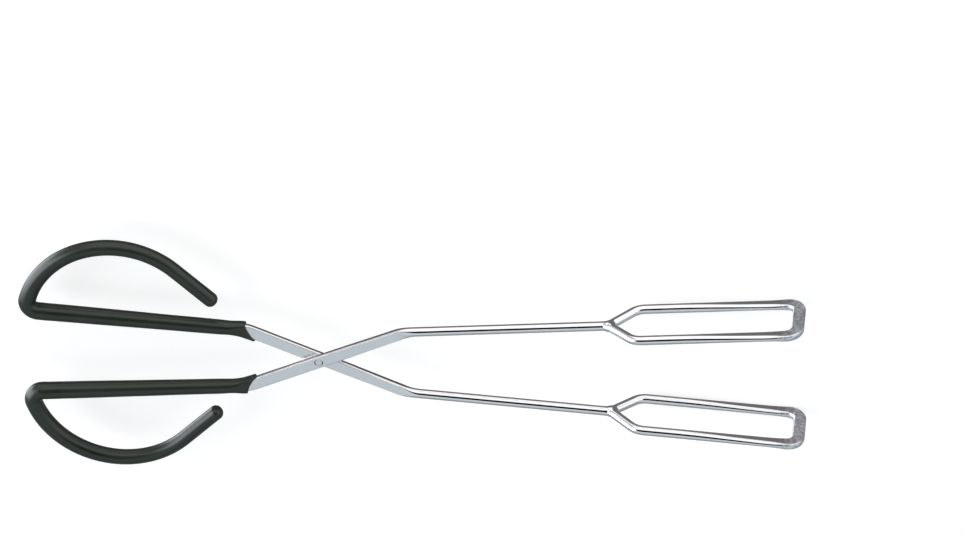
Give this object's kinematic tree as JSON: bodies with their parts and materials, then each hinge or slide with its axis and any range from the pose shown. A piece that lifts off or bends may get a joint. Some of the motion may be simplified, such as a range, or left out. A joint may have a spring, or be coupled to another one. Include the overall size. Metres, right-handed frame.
{
  "type": "scissor tongs",
  "caption": "Scissor tongs: crossed chromed wire arms on a flush rivet, with upright rectangular jaw loops and open finger loops dipped in dark vinyl.",
  "frame": {"origin": "centre of the bounding box's bottom face, with the tongs lying flat and open as at rest", "axes": "+X along the tongs towards the jaws, +Y in the plane that the arms swing in, +Z along the hinge axis"},
  "size_m": [0.3528, 0.1196, 0.0331],
  "materials": {
    "chromed_wire": "bright chrome on round wire, satin on the pressed flats",
    "dipped_vinyl": "semi-gloss dipped vinyl, very dark green-black",
    "rivet_steel": "satin"
  },
  "bodies": {
    "rear_half": {"rear_arm_wire": "chromed_wire", "rear_grip": "dipped_vinyl", "pivot_rivet": "rivet_steel"},
    "front_half": {"front_arm_wire": "chromed_wire", "front_grip": "dipped_vinyl"}
  },
  "joints": [
    {"name": "pivot", "type": "hinge", "parent": "rear_half", "child": "front_half", "pos_m": [-0.0415, 0, 0.01655], "axis": [0, 0, 1], "range_deg": [-15, 30]}
  ]
}
